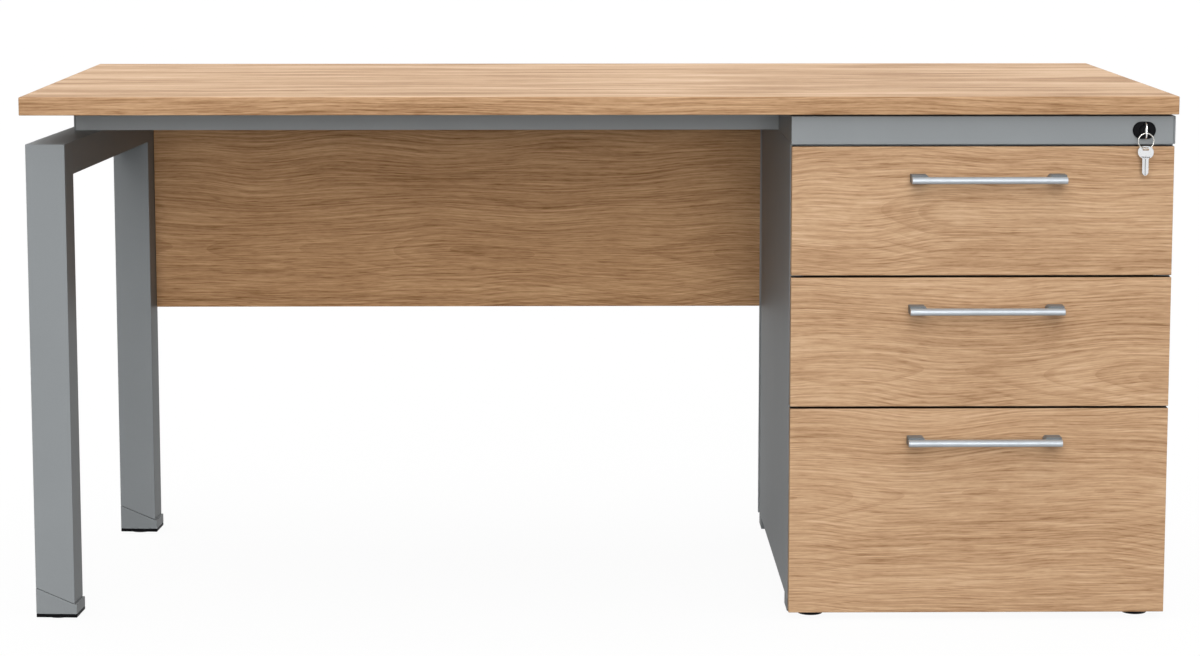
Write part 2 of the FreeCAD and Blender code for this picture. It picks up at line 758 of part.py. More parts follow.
def handle_post(label, x, drawer, side):
    """A flat post behind the bar, a little higher than it, with its inner top corner cut off."""
    body = new_body(label)
    middle = f"front_low_{drawer} + front_height_{drawer} - handle_drop"
    top = "handle_height / 2 + handle_post_rise"
    section = outline_sketch(body, label + "_section", "XZ_Plane", [[
        ("0", "-handle_post_drop"),
        (f"{side} * handle_post_width", "-handle_post_drop"),
        (f"{side} * handle_post_width", f"{top} - handle_post_bevel"),
        (f"{side} * (handle_post_width - handle_post_bevel)", top),
        ("0", top),
    ]])
    feature(body, "Pad", section, "handle_projection - handle_bar_depth", True)
    return put(body, x, "handle_y + handle_bar_depth", middle)


for drawer in DRAWERS:
    name = f"drawer_{drawer}"
    low = f"box_low_{drawer}"
    wall_size = ("box_wall", "box_depth", f"box_height_{drawer}")
    node(box(f"{name}_front", ("front_left", "front_y", f"front_low_{drawer}"),
             ("front_width", "front_thickness", f"front_height_{drawer}")))
    node(group(f"{name}_sides", [
        box(f"{name}_left_side", ("box_left", "front_back_y", low), wall_size),
        box(f"{name}_right_side", ("box_right - box_wall", "front_back_y", low), wall_size),
    ]))
    node(box(f"{name}_back", ("box_left + box_wall", "box_back_y - box_wall", low),
             ("box_inner", "box_wall", f"box_height_{drawer}")))
    node(box(f"{name}_bottom", ("box_left + box_wall", "front_back_y", low),
             ("box_inner", "box_depth - box_wall", "box_bottom")))
    right_runner = drawer_runner(f"{name}_right_runner", "box_right", drawer, 1)
    node(group(f"{name}_runners", [
        drawer_runner(f"{name}_left_runner", "box_left", drawer, -1),
        fuse(f"{name}_right_runner_with_catch", [right_runner] + catch(drawer)),
    ]))
    node(handle_bar(f"{name}_handle_bar", drawer))
    node(group(f"{name}_handle_posts", [
        handle_post(f"{name}_left_handle_post", "handle_left", drawer, 1),
        handle_post(f"{name}_right_handle_post", "handle_left + handle_length", drawer, -1),
    ]))

# Lock: an oval rosette and a housing in the fascia, a plug that turns in them, and its cam
ROSETTE_SIDE = "(rosette_width - rosette_height) / 2"
rosette_plate = fuse("rosette_plate", [
    box("rosette_middle", (f"lock_x - {ROSETTE_SIDE}", "rosette_y", "lock_z - rosette_height / 2"),
        (f"2 * {ROSETTE_SIDE}", "rosette_thickness", "rosette_height")),
    rod("rosette_left", "rosette_height / 2", "rosette_thickness",
        (f"lock_x - {ROSETTE_SIDE}", "rosette_y", "lock_z"), ALONG_Y),
    rod("rosette_right", "rosette_height / 2", "rosette_thickness",
        (f"lock_x + {ROSETTE_SIDE}", "rosette_y", "lock_z"), ALONG_Y),
])
PLUG_BORE = "lock_plug_radius + lock_play"
node(cut("lock_rosette", rosette_plate, [
    rod("rosette_bore", PLUG_BORE, "rosette_thickness", ("lock_x", "rosette_y", "lock_z"), ALONG_Y),
]))
housing_body = fuse("housing_body", [
    rod("housing_barrel", "housing_radius", "housing_length", ("lock_x", "front_y", "lock_z"), ALONG_Y),
    rod("housing_nut", "housing_nut_radius", "housing_nut_height",
        ("lock_x", "front_back_y", "lock_z"), ALONG_Y),
])
node(cut("lock_housing", housing_body, [
    rod("housing_bore", PLUG_BORE, "housing_length", ("lock_x", "front_y", "lock_z"), ALONG_Y),
]))
plug_at = ("lock_x", "plug_y", "lock_z")
plug_round = rod("plug_round", "lock_plug_radius", "lock_plug_length", plug_at, ALONG_Y)
keyway = box(
    "keyway",
    ("lock_x - key_thickness / 2 - keyway_play", "plug_y", "lock_z - blade_width / 2 - keyway_play"),
    ("key_thickness + 2 * keyway_play", "blade_length + keyway_play", "blade_width + 2 * keyway_play"),
)
node(cut("lock_plug", plug_round, [keyway]))
cam_arm = box(
    "cam_arm",
    ("lock_x - cam_end_radius * sin(cam_start)", "cam_y", "lock_z + cam_end_radius * cos(cam_start)"),
    ("cam_throw", "cam_thickness", "2 * cam_end_radius"), FreeCAD.Rotation(FreeCAD.Vector(0, 1, 0), 1),
)
bind(cam_arm, "Placement.Rotation.Angle", "180 - cam_start")
cam_end = ("lock_x - pin_side", "cam_y", "lock_z - pin_drop")
node(fuse("lock_cam", [
    rod("cam_hub", "cam_hub_radius", "cam_thickness", ("lock_x", "cam_y", "lock_z"), ALONG_Y),
    cam_arm,
    rod("cam_end", "cam_end_radius", "cam_thickness", cam_end, ALONG_Y),
    rod("cam_pin", "cam_pin_radius", "cam_thickness + cam_pin_length", cam_end, ALONG_Y),
]))

# Locking bar: a flat strip with a slotted head for the cam pin and a lug below each drawer's catch
SLOT_HALF = "(cam_pin_radius + bar_slot_play)"
head_plate = box(
    "bar_head", ("slot_left - bar_head_margin", "head_y", "head_z - bar_head_half"),
    ("bar_x + bar_thickness - slot_left + bar_head_margin", "bar_back_y - head_y", "2 * bar_head_half"),
)
pin_slot = box("pin_slot", ("slot_left", "head_y", f"head_z - {SLOT_HALF}"),
               ("slot_right - slot_left", "bar_back_y - head_y", f"2 * {SLOT_HALF}"))
strip = box("bar_strip", ("bar_x", "bar_y", "bar_foot"),
            ("bar_thickness", "bar_width", "head_z + bar_head_half - bar_foot"))
lugs = [
    box(f"bar_lug_{drawer}", ("lug_x", "bar_y", f"runner_{drawer} + lug_low"),
        ("bar_x + bar_thickness - lug_x", "bar_width", "lug_height"))
    for drawer in DRAWERS
]
node(cut("locking_bar", fuse("bar_blank", [strip, head_plate] + lugs), [pin_slot]))


def bar_guide(drawer):
    """A staple on the carcass side that holds the locking bar, just below a drawer's front."""
    low = f"front_low_{drawer} - guide_drop - guide_height"
    cover_x = "bar_x - bar_play - guide_wall"
    outer = box(f"guide_outer_{drawer}", (cover_x, "bar_y - bar_play - guide_foot", low),
                (f"inner_right - ({cover_x})", "bar_width + 2 * (bar_play + guide_foot)", "guide_height"))
    inner = box(f"guide_inner_{drawer}", ("bar_x - bar_play", "bar_y - bar_play", low),
                ("inner_right - bar_x + bar_play", "bar_width + 2 * bar_play", "guide_height"))
    return cut(f"bar_guide_{drawer}", outer, [inner])


node(group("locking_bar_guides", [bar_guide(1), bar_guide(2)]))


# Keys: a slotted bow and a pointed blade, drawn hanging from the middle of the slot
def key_body(label):
    body = new_body(label)
    top = "bow_slot_edge + bow_slot_width / 2"
    bow = outline_sketch(body, label + "_bow", "XZ_Plane", [
        rectangle("-bow_width / 2", f"{top} - bow_length", "bow_width / 2", top),
    ])
    pad = feature(body, "Pad", bow, "key_thickness")
    pad.Midplane = True
    round_edges(body, pad, lambda edge: abs(edge.Length - value("key_thickness")) < TOUCH, "bow_corner")
    blade = outline_sketch(body, label + "_blade", "XZ_Plane", [[
        ("-blade_width / 2", f"{top} - bow_length / 2"),
        ("blade_width / 2", f"{top} - bow_length / 2"),
        ("blade_width / 2", f"{top} - bow_length - blade_length + blade_width / 2"),
        ("0", f"{top} - bow_length - blade_length"),
        ("-blade_width / 2", f"{top} - bow_length - blade_length + blade_width / 2"),
    ]])
    feature(body, "Pad", blade, "key_thickness").Midplane = True
    slot = outline_sketch(body, label + "_slot", "XZ_Plane", [
        rectangle("-bow_slot_length / 2", "-bow_slot_width / 2", "bow_slot_length / 2", "bow_slot_width / 2"),
    ])
    feature(body, "Pocket", slot, "2 * key_thickness").Midplane = True
    return body


key_in_lock = node(key_body("key_in_lock"))
bow_upright = FreeCAD.Rotation(FreeCAD.Vector(0, 1, 0), -90)
bow_outwards = FreeCAD.Rotation(FreeCAD.Vector(0, 0, 1), 90)
put(key_in_lock, "lock_x", "key_slot_y", "lock_z", bow_outwards.multiply(bow_upright))
key_ring = doc.addObject("Part::Torus", "key_ring")
bind(key_ring, "Radius1", "ring_radius")
bind(key_ring, "Radius2", "ring_wire")
node(put(key_ring, "lock_x", "key_slot_y", "ring_top_z - ring_radius", ALONG_Y))
spare_key = node(key_body("spare_key"))
put(spare_key, "lock_x", "key_slot_y", "ring_bottom_z", FreeCAD.Rotation(FreeCAD.Vector(0, 0, -1), 1))
bind(spare_key, "Placement.Rotation.Angle", "spare_twist")

# Fasteners: bolts that hold the beams down, and screws into the worktop and the modesty panel
bolt = ("bolt_radius", "bolt_head_radius", "bolt_head_height")
leg_bolts = [
    screw(f"leg_{name}_bolt", (x, y, "frame_bottom - tube_wall"), UPRIGHT, *bolt,
          "2 * tube_wall + bolt_reach")
    for name, (x, y) in LEG_BOLT.items()
]
pedestal_bolts = [
    screw(f"pedestal_{name}_bolt_{i}", (x, y, "frame_bottom - board"), UPRIGHT, *bolt,
          "board + tube_wall + bolt_reach")
    for name, y in BEAM_MIDDLES.items()
    for i, x in enumerate(PEDESTAL_BOLT_COLUMNS)
]
node(group("frame_bolts", leg_bolts + pedestal_bolts))
wood_screw = ("screw_radius", "screw_head_radius", "screw_head_height")
top_screws = [
    screw(f"top_{name}_screw_{i}", (x, y, SCREW_SEAT), UPRIGHT, *wood_screw, "tube_wall + screw_bite")
    for name, y in BEAM_MIDDLES.items()
    for i, x in enumerate(TOP_SCREW_COLUMNS)
]
FORWARDS = FreeCAD.Rotation(FreeCAD.Vector(1, 0, 0), 90)
panel_screws = [
    screw(f"panel_screw_{i}", (x, "modesty_y + modesty_thickness", "modesty_screw_z"), FORWARDS, *wood_screw,
          "modesty_thickness + tube_wall + bolt_reach")
    for i, x in enumerate(PANEL_SCREW_COLUMNS)
]
node(group("panel_screws", top_screws + panel_screws))

# Check the document, then write one file for each sub-part
doc.recompute()
for item in doc.Objects:
    faults = {"Invalid", "Error"}.intersection(item.State)
    if faults:
        raise RuntimeError(f"{item.Label}: {faults}")
for item in nodes:
    if item.Shape.isNull() or not item.Shape.isValid():
        raise RuntimeError(f"{item.Label}: no valid shape")
os.makedirs("parts", exist_ok=True)
for item in nodes:
    item.Shape.exportStep(f"parts/{item.Label}.step")
print(len(nodes), "sub-parts written")
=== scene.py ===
import bmesh
import bpy
import math
from mathutils import Matrix, Vector


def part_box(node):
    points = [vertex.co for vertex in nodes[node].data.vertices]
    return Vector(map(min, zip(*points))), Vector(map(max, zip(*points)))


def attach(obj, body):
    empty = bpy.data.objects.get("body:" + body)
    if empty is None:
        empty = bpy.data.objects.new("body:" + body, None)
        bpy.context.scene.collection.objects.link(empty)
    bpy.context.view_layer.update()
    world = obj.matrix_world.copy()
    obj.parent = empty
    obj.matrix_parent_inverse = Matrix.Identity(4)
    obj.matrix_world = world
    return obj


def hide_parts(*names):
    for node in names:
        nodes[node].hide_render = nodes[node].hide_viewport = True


# Pedestal desk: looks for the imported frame. Metres, +Z up, front towards -Y.
MM = 0.001
DRAWERS = (1, 2, 3)
GLIDES = (
    "leg_front_glide", "leg_rear_glide", "pedestal_front_left_glide", "pedestal_front_right_glide",
    "pedestal_rear_left_glide", "pedestal_rear_right_glide",
)

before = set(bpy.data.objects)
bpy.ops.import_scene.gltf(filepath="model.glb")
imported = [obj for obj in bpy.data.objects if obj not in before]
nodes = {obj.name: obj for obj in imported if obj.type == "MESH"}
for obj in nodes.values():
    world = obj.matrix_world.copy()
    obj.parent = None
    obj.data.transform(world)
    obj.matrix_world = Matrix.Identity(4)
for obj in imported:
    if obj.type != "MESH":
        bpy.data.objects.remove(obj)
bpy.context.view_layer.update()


class Nodes:
    """A node tree that is built by adding and linking nodes."""

    def __init__(self, owner):
        owner.use_nodes = True
        self.tree = owner.node_tree

    def add(self, kind, inputs=None, **settings):
        item = self.tree.nodes.new("ShaderNode" + kind)
        for name, setting in settings.items():
            setattr(item, name, setting)
        self.fill(item, inputs or {})
        return item

    def fill(self, item, inputs):
        """Set each input to a value, or link it to another node's output."""
        for name, source in inputs.items():
            if isinstance(source, bpy.types.NodeSocket):
                self.tree.links.new(source, item.inputs[name])
            else:
                item.inputs[name].default_value = source

    def stretched(self, vector, scale):
        return self.add("Mapping", {"Vector": vector, "Scale": scale}).outputs[0]

    def noise(self, vector, scale, detail=3.0, rough=0.55):
        """Noise of about 0 to 1, with the scale given along each axis, per metre."""
        inputs = {"Vector": self.stretched(vector, scale), "Scale": 1.0, "Detail": detail, "Roughness": rough}
        return self.add("TexNoise", inputs)

    def streaks(self, vector, scale, pace=1.0):
        """Noise drawn out along X, spread to the full 0 to 1; a higher pace makes the streaks shorter."""
        along, across = scale
        noise = self.noise(vector, (along * pace, across, 1.0), 2.0, 0.7)
        return self.between(noise.outputs[0], 0.28, 0.72)

    def maths(self, operation, *values):
        return self.add("Math", dict(enumerate(values)), operation=operation).outputs[0]

    def sum_of(self, start, *shares):
        """A number plus each source times its share."""
        total = start
        for source, share in shares:
            total = self.maths("MULTIPLY_ADD", source, share, total)
        return total

    def between(self, value, low, high, to_low=0.0, to_high=1.0):
        inputs = {"Value": value, "From Min": low, "From Max": high, "To Min": to_low, "To Max": to_high}
        return self.add("MapRange", inputs, clamp=True).outputs[0]

    def ramp(self, value, stops):
        item = self.add("ValToRGB", {"Fac": value})
        marks = item.color_ramp.elements
        while len(marks) < len(stops):
            marks.new(0.5)
        for mark, (position, colour) in zip(marks, stops):
            mark.position = position
            mark.color = (*colour, 1.0)
        return item.outputs["Color"]

    def tint(self, colour, value):
        """The colour times a value that varies over the surface."""
        return self.add("VectorMath", {0: colour, "Scale": value}, operation="SCALE").outputs[0]

    def seen_directly(self):
        """1 for what the camera, a reflection or a glass sees, and 0 for light that falls on the object."""
        rays = self.add("LightPath").outputs
        either = self.maths("MAXIMUM", rays["Is Camera Ray"], rays["Is Glossy Ray"])
        return self.maths("MAXIMUM", either, rays["Is Transmission Ray"])


class Look(Nodes):
    """One material with a principled shader."""

    def __init__(self, name):
        self.material = bpy.data.materials.new(name)
        super().__init__(self.material)
        self.shader = self.tree.nodes["Principled BSDF"]
        self.place = self.add("TexCoord").outputs["Object"]

    def bump(self, height, strength, depth):
        inputs = {"Height": height, "Strength": strength, "Distance": depth}
        self.fill(self.shader, {"Normal": self.add("Bump", inputs).outputs[0]})


# Oak: its tones from dark to light
OAK_TONES = (
    (0.00, (0.250, 0.128, 0.056)),
    (0.25, (0.390, 0.220, 0.112)),
    (0.50, (0.510, 0.307, 0.166)),
    (0.75, (0.610, 0.389, 0.222)),
    (1.00, (0.690, 0.465, 0.286)),
)
# Oak: the scale of each layer along and across the grain, per metre
HAIRS = (8.5, 360.0)
TICKS = (55.0, 430.0)
FIBRES = (7.0, 220.0)
FLOW = (2.5, 70.0)
BANDS = (0.7, 18.0)
CLOUDS = (0.8, 3.5)
WAVES = (3.0, 4.5, 1.0)
PORES = (34.0, 480.0, 1.0)
JITTER = (1.2, 14.0, 1.0)
# Oak: growth rings per metre, and how far they are shaken, in rings
RINGS = 110.0
RING_SHAKE = 2.2
# Oak: how much each layer adds to the tone
HAIR_SHARE = 0.64
TICK_SHARE = 0.22
FIBRE_SHARE = 0.15
FLOW_SHARE = 0.10
RING_SHARE = -0.18
PORE_SHARE = -0.16
# Oak: how much lighter the board gets to make up for its dark rings and pores
DARK_LIFT = 0.08
OAK_SHINE = 0.04


def oak(
    name, pith, tilt, ends, tone=0.49, paleness=1.09, band=0.34, cloud=0.08, pace=1.0, reach=0.060, edge=1.0,
):
    """Oak laminate with its grain along X: wavy hairs and pores, and rings round a tilted pith.

    Faces at the ends of the board take their coordinates in the order given, as an edge band does.
    The pace is how fast the figure changes along the grain, and the reach is how far its waves push it, in
    metres. The edge is the tint of faces that look up or down, a painted shade for the gaps above and below
    them.
    """
    look = Look(name)
    axes = look.add("SeparateXYZ", {0: look.place}).outputs
    turned = look.add("CombineXYZ", {i: axes[axis] for i, axis in enumerate(ends)}).outputs[0]
    facing = look.add("SeparateXYZ", {0: look.add("NewGeometry").outputs["Normal"]}).outputs
    at_end = look.maths("GREATER_THAN", look.maths("ABSOLUTE", facing["X"]), 0.7)
    # Painted shade: faces that look up or down take the edge tint, so the gaps between fronts read black
    painted_gap_shade = look.between(look.maths("ABSOLUTE", facing["Z"]), 0.80, 0.95, 1.0, edge)
    place = look.add("Mix", {0: at_end, 4: look.place, 5: turned}, data_type="VECTOR").outputs[1]
    x, y, z = look.add("SeparateXYZ", {0: place}).outputs
    side = look.maths("ADD", y, z)
    plane = look.add("CombineXYZ", {0: x, 1: side}).outputs[0]
    waves = look.noise(plane, WAVES, 1.0).outputs[0]
    log = look.add("Mapping", {"Vector": place, "Location": pith, "Rotation": tilt}, vector_type="TEXTURE")
    flat = look.stretched(log.outputs[0], (0.0, 1.0, 1.0))
    growth = look.add("VectorMath", {0: flat}, operation="LENGTH").outputs["Value"]
    across = look.sum_of(growth, (waves, reach))
    grain = look.add("CombineXYZ", {0: x, 1: across}).outputs[0]
    straight = look.add("CombineXYZ", {0: x, 1: look.sum_of(side, (waves, reach))}).outputs[0]
    hairs = look.streaks(straight, HAIRS)
    ticks = look.streaks(straight, TICKS)
    fibres = look.streaks(grain, FIBRES)
    flow = look.streaks(grain, FLOW, pace)
    bands = look.streaks(grain, BANDS, pace)
    clouds = look.streaks(plane, CLOUDS, pace)
    jitter = look.noise(grain, JITTER, 2.0).outputs[0]
    rings = look.maths("FRACT", look.sum_of(0.0, (across, RINGS), (jitter, RING_SHAKE)))
    broken = look.between(hairs, 0.0, 0.7, 0.3, 1.0)
    late_wood = look.maths("MULTIPLY", look.between(rings, 0.60, 1.0), broken)
    pores = look.between(look.noise(straight, PORES, 1.0).outputs[0], 0.56, 0.68)
    shares = [
        (hairs, HAIR_SHARE), (ticks, TICK_SHARE), (fibres, FIBRE_SHARE), (flow, FLOW_SHARE),
        (bands, band), (clouds, cloud),
    ]
    middle = tone + DARK_LIFT - 0.5 * sum(share for layer, share in shares)
    total = look.sum_of(middle, *shares, (late_wood, RING_SHARE), (pores, PORE_SHARE))
    green_share = 0.65 + 0.35 * paleness
    tones = [(stop, (red, green * green_share, blue * paleness)) for stop, (red, green, blue) in OAK_TONES]
    look.fill(look.shader, {
        "Base Color": look.tint(look.ramp(total, tones), painted_gap_shade), "Specular IOR Level": OAK_SHINE,
        "Roughness": look.between(hairs, 0.0, 1.0, 0.60, 0.50),
    })
    look.bump(look.maths("SUBTRACT", hairs, pores), 0.15, 0.2 * MM)
    return look.material


def painted(name, colour, rough, grain, depth, shine=0.10):
    """A matt coat with a fine texture and a faint unevenness of colour."""
    look = Look(name)
    cloud = look.noise(look.place, (9.0, 9.0, 9.0), 3.0).outputs[0]
    speck = look.noise(look.place, (grain, grain, grain), 2.0).outputs[0]
    light = look.sum_of(0.90, (cloud, 0.10), (speck, 0.10))
    look.fill(look.shader, {
        "Base Color": look.tint(colour, light), "Specular IOR Level": shine,
        "Roughness": look.between(speck, 0.3, 0.7, rough - 0.05, rough + 0.05),
    })
    look.bump(speck, 0.25, depth)
    return look.material


# Metal: the tone that painted shade leaves in grooves, creases and where parts touch
CREASE_SHADE = 0.12


def metal(name, colour, rough, lines, cloudy=0.06, metallic=1.0, crease=0.0):
    """Bare, plated or anodised metal with brushing lines, whose scale is given along each axis.

    Grooves and creases narrower than the crease distance, in metres, and places where parts touch, are
    darkened with painted shade.
    """
    look = Look(name)
    brush = look.noise(look.place, lines, 3.0, 0.65).outputs[0]
    cloud = look.noise(look.place, (40.0, 40.0, 40.0), 3.0).outputs[0]
    light = look.between(cloud, 0.3, 0.7, 1.0 - cloudy, 1.0 + cloudy)
    if crease:
        # Painted shade: ambient occlusion darkens grooves, creases and touching parts
        open_air = look.add("AmbientOcclusion", {"Distance": crease}).outputs["AO"]
        light = look.maths("MULTIPLY", light, look.between(open_air, 0.45, 0.95, CREASE_SHADE, 1.0))
    look.fill(look.shader, {
        "Base Color": look.tint(colour, light), "Metallic": metallic,
        "Roughness": look.between(brush, 0.25, 0.75, rough - 0.07, rough + 0.07),
    })
    look.bump(brush, 0.08, 0.05 * MM)
    return look.material


GREY = (0.262, 0.278, 0.287)


def grey(share):
    return tuple(share * part for part in GREY)


# Painted shade on the faces above and below each drawer front, which makes the gaps between the fronts black
GAP_SHADE_TINT = 0.10
looks = {
    "desktop": oak(
        "oak_desktop", (0.20, -0.03, 0.69), (0.0, 0.02, 0.01), "YXZ",
        tone=0.575, paleness=1.19, band=0.90, cloud=0.36, pace=2.2,
    ),
    "desktop_edge_bands": oak(
        "oak_edge_band", (0.0, -0.30, 0.50), (0.0, 0.01, 0.02), "YXZ", tone=0.365, paleness=1.02, reach=0.025,
    ),
    # Painted shade: the modesty panel's oak is darker and yellower than the fronts', for the deep shade it
    # hangs in under the desktop
    "modesty_panel": oak(
        "oak_modesty_painted_shade", (-0.15, 0.320, 0.45), (0.0, 0.01, -0.03), "ZYX", tone=0.39, paleness=0.90,
    ),
    "drawer_1_front": oak("oak_front_1", (0.56, -0.345, 0.58), (0.0, -0.02, -0.035), "ZYX", edge=GAP_SHADE_TINT),
    "drawer_2_front": oak("oak_front_2", (0.60, -0.350, 0.35), (0.0, 0.02, -0.030), "ZYX", edge=GAP_SHADE_TINT),
    "drawer_3_front": oak("oak_front_3", (0.50, -0.340, 0.18), (0.0, -0.02, 0.035), "ZYX", edge=GAP_SHADE_TINT),
}
grey_steel = painted("grey_powder_coat", GREY, 0.45, 900.0, 0.06 * MM)
# Painted light: the beams' grey is lighter than the legs', for light that would reach the front beam under
# the desktop
beam_grey_painted_light = painted("beam_coat_painted_light", grey(1.35), 0.45, 900.0, 0.06 * MM)
grey_casting = painted("grey_casting_coat", grey(0.96), 0.42, 500.0, 0.08 * MM)
grey_board = painted("grey_melamine", grey(1.05), 0.50, 1400.0, 0.03 * MM)
grey_plastic = painted("grey_moulding", grey(0.85), 0.50, 700.0, 0.05 * MM)
post_grey = painted("grey_post_coat", grey(0.60), 0.42, 500.0, 0.08 * MM)
pale_board = painted("pale_melamine", (0.52, 0.53, 0.53), 0.50, 1200.0, 0.03 * MM)
black_plastic = painted("black_moulding", (0.005, 0.005, 0.006), 0.45, 600.0, 0.04 * MM, 0.03)
runner_steel = metal("zinc_plated_steel", (0.62, 0.63, 0.64), 0.38, (30.0, 30.0, 900.0), 0.12)
aluminium = metal("satin_aluminium", (0.39, 0.42, 0.45), 0.36, (12.0, 1500.0, 1500.0), metallic=0.3)
black_coat = painted("black_lock_coat", (0.006, 0.006, 0.007), 0.38, 900.0, 0.03 * MM, 0.05)
lock_metal = metal("lock_nickel", (0.66, 0.66, 0.64), 0.30, (700.0, 700.0, 700.0))
key_metal = metal("key_nickel", (0.76, 0.77, 0.78), 0.24, (400.0, 400.0, 120.0), crease=2.0 * MM)
ring_metal = metal("ring_nickel", (0.50, 0.49, 0.46), 0.26, (400.0, 400.0, 400.0))
zinc = metal("zinc_fasteners", (0.64, 0.65, 0.66), 0.34, (600.0, 600.0, 600.0), 0.10)

# Node, its material and the radius of its edges in millimetres
finishes = {}
for name in ("leg_front_post", "leg_rear_post", "leg_top_beam"):
    finishes[name] = (grey_steel, 0.8)
# The beams take the lighter grey that paints in light
for name in ("front_beam", "rear_beam"):
    finishes[name] = (beam_grey_painted_light, 0.8)
for name in ("fascia_left_cheek", "fascia_right_cheek"):
    finishes[name] = (grey_steel, 1.4)
for name in ("front_shoe", "rear_shoe"):
    finishes[name] = (grey_casting, 0.5)
for side in ("left_side", "right_side", "back", "bottom", "top"):
    finishes[f"pedestal_{side}"] = (grey_board, 0.6)
for name in GLIDES:
    finishes[name] = (black_plastic, 0.6)
for drawer in DRAWERS:
    finishes[f"drawer_{drawer}_front"] = (looks[f"drawer_{drawer}_front"], 0.8)
    for piece in ("sides", "back", "bottom"):
        finishes[f"drawer_{drawer}_{piece}"] = (pale_board, 0.4)
    finishes[f"drawer_{drawer}_runners"] = (runner_steel, 0.3)
    finishes[f"drawer_{drawer}_handle_bar"] = (aluminium, 0.4)
    finishes[f"drawer_{drawer}_handle_posts"] = (post_grey, 0.6)
finishes.update({
    "desktop": (looks["desktop"], 0.0),
    "modesty_panel": (looks["modesty_panel"], 0.8),
    "fascia": (grey_board, 0.6),
    "beam_end_caps": (grey_plastic, 0.4),
    "leg_base_plugs": (black_plastic, 0.8),
    "pedestal_foot_blocks": (grey_plastic, 1.0),
    "cabinet_runners": (runner_steel, 0.3),
    "locking_bar_guides": (runner_steel, 0.3),
    "locking_bar": (runner_steel, 0.3),
    "lock_rosette": (black_plastic, 1.4),
    "lock_housing": (lock_metal, 0.4),
    "lock_plug": (black_coat, 0.3),
    "lock_cam": (lock_metal, 0.3),
    "key_ring": (ring_metal, 0.0),
    "frame_bolts": (zinc, 0.5),
    "panel_screws": (zinc, 0.5),
})


def soften(item, radius):
    """Round an object's sharp edges without touching its mesh."""
    weld = item.modifiers.new("weld", "WELD")
    weld.merge_threshold = 0.01 * MM
    flat = item.modifiers.new("flat_faces", "DECIMATE")
    flat.decimate_type = "DISSOLVE"
    flat.angle_limit = math.radians(0.5)
    bevel = item.modifiers.new("edges", "BEVEL")
    bevel.width = radius * MM
    bevel.segments = 2
    bevel.limit_method = "ANGLE"
    bevel.angle_limit = math.radians(35)
    bevel.use_clamp_overlap = False
    item.modifiers.new("normals", "WEIGHTED_NORMAL")


for name, (material, radius) in finishes.items():
    item = nodes[name]
    item.data.materials.clear()
    item.data.materials.append(material)
    if radius:
        soften(item, radius)

scene = bpy.context.scene


def new_piece(name, points, faces, material):
    """An object from points and faces, with doubled points joined and all faces turned outwards."""
    mesh = bpy.data.meshes.new(name)
    mesh.from_pydata(points, [], faces)
    shape = bmesh.new()
    shape.from_mesh(mesh)
    bmesh.ops.remove_doubles(shape, verts=shape.verts, dist=0.005 * MM)
    bmesh.ops.recalc_face_normals(shape, faces=shape.faces)
    shape.to_mesh(mesh)
    shape.free()
    mesh.materials.append(material)
    item = bpy.data.objects.new(name, mesh)
    scene.collection.objects.link(item)
    return item


def stand_in(item, node, body):
    """Let the piece take the place of a CAD node."""
    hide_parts(node)
    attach(item, body)


def skin(rows, closed, start=0):
    """Faces between neighbouring rows of points, closed into a loop or capped at both ends."""
    size = len(rows[0])
    faces = []
    for i in range(len(rows) if closed else len(rows) - 1):
        here = start + i * size
        there = start + (i + 1) % len(rows) * size
        faces += [(here + k, here + (k + 1) % size, there + (k + 1) % size, there + k) for k in range(size)]
    if not closed:
        faces += [tuple(start + first + k for k in range(size)) for first in (0, (len(rows) - 1) * size)]
    return faces


# Edge band: one strip round the board with its outer edges rounded
BAND = 2.0 * MM
BAND_ROUND = 1.2 * MM
ARC_STEPS = 5


def arc(start):
    """Directions through a quarter turn from the start angle."""
    angles = [math.radians(start + 90.0 * i / (ARC_STEPS - 1)) for i in range(ARC_STEPS)]
    return [(math.cos(angle), math.sin(angle)) for angle in angles]


def edge_band():
    """The band's section carried round the board's four corners."""
    low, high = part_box("desktop_edge_bands")
    middle = BAND - BAND_ROUND
    section = [(0.0, high.z), (0.0, low.z)]
    section += [(middle + BAND_ROUND * u, low.z + BAND_ROUND * (1.0 + v)) for u, v in arc(-90.0)]
    section += [(middle + BAND_ROUND * u, high.z - BAND_ROUND * (1.0 - v)) for u, v in arc(0.0)]
    corners = (
        (high.x - BAND, high.y - BAND, 0.0), (low.x + BAND, high.y - BAND, 90.0),
        (low.x + BAND, low.y + BAND, 180.0), (high.x - BAND, low.y + BAND, 270.0),
    )
    rows = [
        [(x + out * u, y + out * v, z) for x, y, start in corners for u, v in arc(start)]
        for out, z in section
    ]
    return new_piece("edge_band", sum(rows, []), skin(rows, True), looks["desktop_edge_bands"])


stand_in(edge_band(), "desktop_edge_bands", "desk")

# Keys: a round bow with a slot, and a grooved blade, drawn hanging from the slot's middle, in millimetres
BOW = {"width": 23.0, "height": 17.0, "corner": 8.0, "middle": -4.5}
SLOT = {"width": 9.0, "height": 4.0, "corner": 1.2, "middle": 0.0}
BOW_TOP = 4.0
KEY_CHAMFER = 0.3
GROOVE = 1.4
SPARE_TWIST = -30
# Down the blade: the height, the width and the groove's depth
BLADE = (
    (-10.5, 14.0, 0.0), (-12.0, 11.2, 0.0), (-13.2, 9.8, 0.0), (-14.4, 9.0, 0.70), (-32.6, 9.0, 0.70),
    (-34.4, 7.4, 0.70), (-35.8, 5.0, 0.70), (-37.0, 1.6, 0.1),
)


